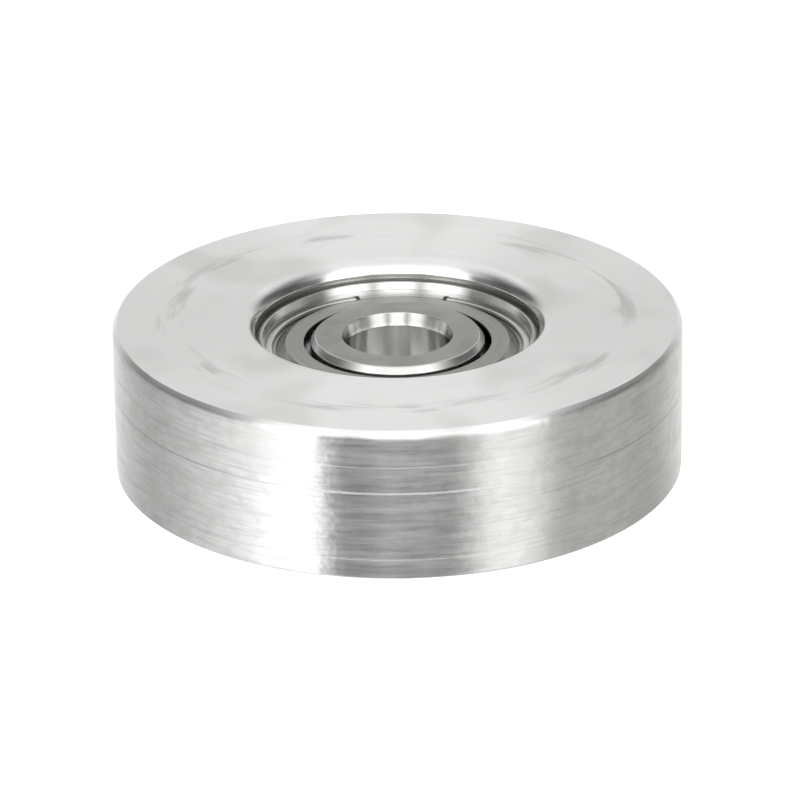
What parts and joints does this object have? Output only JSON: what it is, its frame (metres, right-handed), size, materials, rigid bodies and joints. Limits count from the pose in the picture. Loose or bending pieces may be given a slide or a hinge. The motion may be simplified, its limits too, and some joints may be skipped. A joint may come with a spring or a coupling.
{
  "type": "cam follower roller",
  "caption": "Turned aluminium roller with a flat cylindrical tread, running on a shielded ball bearing pressed into a pocket, with a bore for a stud or shoulder screw.",
  "frame": {"origin": "on the spin axis, half-way through the roller's width", "axes": "+Z along the spin axis, out of the face that the bearing is pressed in from; +X and +Y lie in the roller's mid plane, and the open gap of the upper snap ring is on the +Y side"},
  "size_m": [0.044, 0.044, 0.012],
  "materials": {
    "turned_aluminium": "lathe-turned, bright, faint circular tool marks and handling marks",
    "ring_steel": "ground and honed bearing steel",
    "ball_steel": "lapped bearing steel, mirror bright",
    "shield_steel": "pressed cold-rolled sheet, satin",
    "spring_wire": "rolled flat spring wire, bright",
    "cage_steel": "pressed steel ribbon, tumbled",
    "rivet_steel": "headed steel wire"
  },
  "bodies": {
    "hub": {"bearing_inner_ring": "ring_steel"},
    "roller": {"roller_body": "turned_aluminium", "bearing_outer_ring": "ring_steel", "shield_upper": "shield_steel", "shield_lower": "shield_steel", "snap_ring_upper": "spring_wire", "snap_ring_lower": "spring_wire"},
    "cage": {"cage_half_upper": "cage_steel", "cage_half_lower": "cage_steel", "cage_rivet_1": "rivet_steel", "cage_rivet_2": "rivet_steel", "cage_rivet_3": "rivet_steel", "cage_rivet_4": "rivet_steel", "cage_rivet_5": "rivet_steel", "cage_rivet_6": "rivet_steel", "cage_rivet_7": "rivet_steel"},
    "rolling_ball_1": {"ball_1": "ball_steel"},
    "rolling_ball_2": {"ball_2": "ball_steel"},
    "rolling_ball_3": {"ball_3": "ball_steel"},
    "rolling_ball_4": {"ball_4": "ball_steel"},
    "rolling_ball_5": {"ball_5": "ball_steel"},
    "rolling_ball_6": {"ball_6": "ball_steel"},
    "rolling_ball_7": {"ball_7": "ball_steel"}
  },
  "joints": [
    {"name": "roller_spin", "type": "hinge", "parent": "hub", "child": "roller", "pos_m": [0, 0, 0.00105], "axis": [0, 0, 1], "continuous": true},
    {"name": "cage_orbit", "type": "hinge", "parent": "hub", "child": "cage", "pos_m": [0, 0, 0.00105], "axis": [0, 0, 1], "continuous": true},
    {"name": "ball_1_spin", "type": "hinge", "parent": "cage", "child": "rolling_ball_1", "pos_m": [0.00806, 0, 0.00105], "axis": [0, 0, 1], "continuous": true},
    {"name": "ball_2_spin", "type": "hinge", "parent": "cage", "child": "rolling_ball_2", "pos_m": [0.00503, 0.00631, 0.00105], "axis": [0, 0, 1], "continuous": true},
    {"name": "ball_3_spin", "type": "hinge", "parent": "cage", "child": "rolling_ball_3", "pos_m": [-0.00179, 0.00786, 0.00105], "axis": [0, 0, 1], "continuous": true},
    {"name": "ball_4_spin", "type": "hinge", "parent": "cage", "child": "rolling_ball_4", "pos_m": [-0.00727, 0.0035, 0.00105], "axis": [0, 0, 1], "continuous": true},
    {"name": "ball_5_spin", "type": "hinge", "parent": "cage", "child": "rolling_ball_5", "pos_m": [-0.00727, -0.0035, 0.00105], "axis": [0, 0, 1], "continuous": true},
    {"name": "ball_6_spin", "type": "hinge", "parent": "cage", "child": "rolling_ball_6", "pos_m": [-0.00179, -0.00786, 0.00105], "axis": [0, 0, 1], "continuous": true},
    {"name": "ball_7_spin", "type": "hinge", "parent": "cage", "child": "rolling_ball_7", "pos_m": [0.00503, -0.00631, 0.00105], "axis": [0, 0, 1], "continuous": true}
  ],
  "couplings": [
    {"joint": "cage_orbit", "follows": "roller_spin", "ratio": 0.60849},
    {"joint": "ball_1_spin", "follows": "roller_spin", "ratio": 2.1958},
    {"joint": "ball_2_spin", "follows": "roller_spin", "ratio": 2.1958},
    {"joint": "ball_3_spin", "follows": "roller_spin", "ratio": 2.1958},
    {"joint": "ball_4_spin", "follows": "roller_spin", "ratio": 2.1958},
    {"joint": "ball_5_spin", "follows": "roller_spin", "ratio": 2.1958},
    {"joint": "ball_6_spin", "follows": "roller_spin", "ratio": 2.1958},
    {"joint": "ball_7_spin", "follows": "roller_spin", "ratio": 2.1958}
  ]
}
